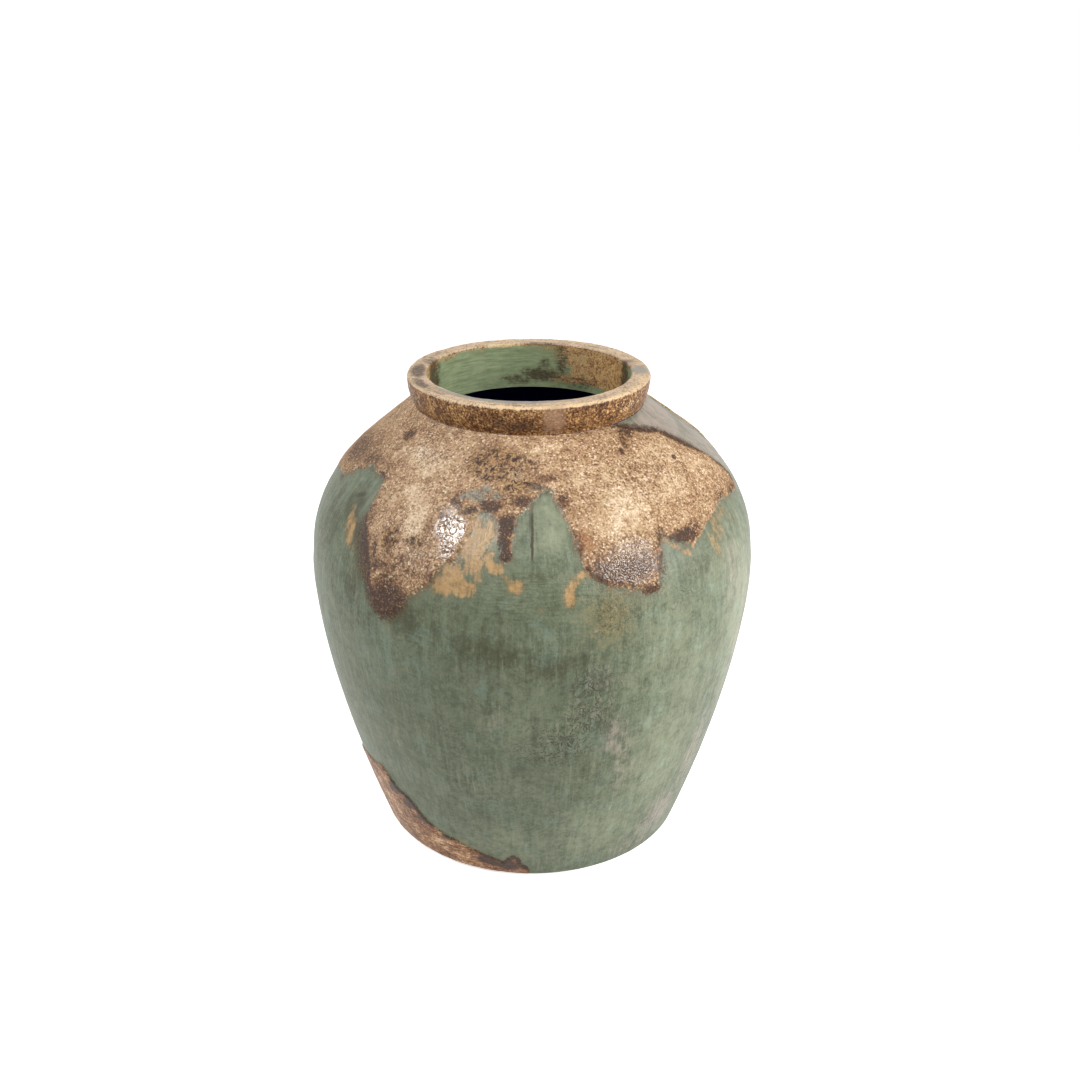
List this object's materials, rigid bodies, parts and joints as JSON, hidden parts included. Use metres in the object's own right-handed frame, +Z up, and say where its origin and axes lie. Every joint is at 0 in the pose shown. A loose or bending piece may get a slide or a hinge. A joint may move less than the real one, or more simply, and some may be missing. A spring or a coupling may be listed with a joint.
{
  "type": "storage jar",
  "caption": "Wide-shouldered open clay storage jar with a thick lip band, a tapered body and a run sandy crust over its shoulder.",
  "frame": {"origin": "on the ground, under the middle of the foot", "axes": "+Z is up along the jar's axis, -Y is the side that the picture shows, +X is to the right of it"},
  "size_m": [0.3612, 0.3612, 0.39],
  "materials": {
    "bare_clay": "unglazed, gritty tan clay",
    "sage_glaze": "glossy sage green with upright brush streaks and umber stains",
    "shoulder_glaze": "glossy sage green with bare buff patches",
    "lip_glaze": "brown and gold crusted glaze, worn to pale tan on the top of the lip",
    "sand_crust": "sandy tan crust with glinting specks, umber at the tips of its lobes",
    "rust_crust": "orange-brown crust with a dark ragged edge"
  },
  "bodies": {
    "root": {"base_slab": "bare_clay", "lower_wall": "sage_glaze", "shoulder_wall": "shoulder_glaze", "neck_collar": "lip_glaze", "shoulder_crust": "sand_crust", "foot_crust": "rust_crust"}
  },
  "joints": []
}
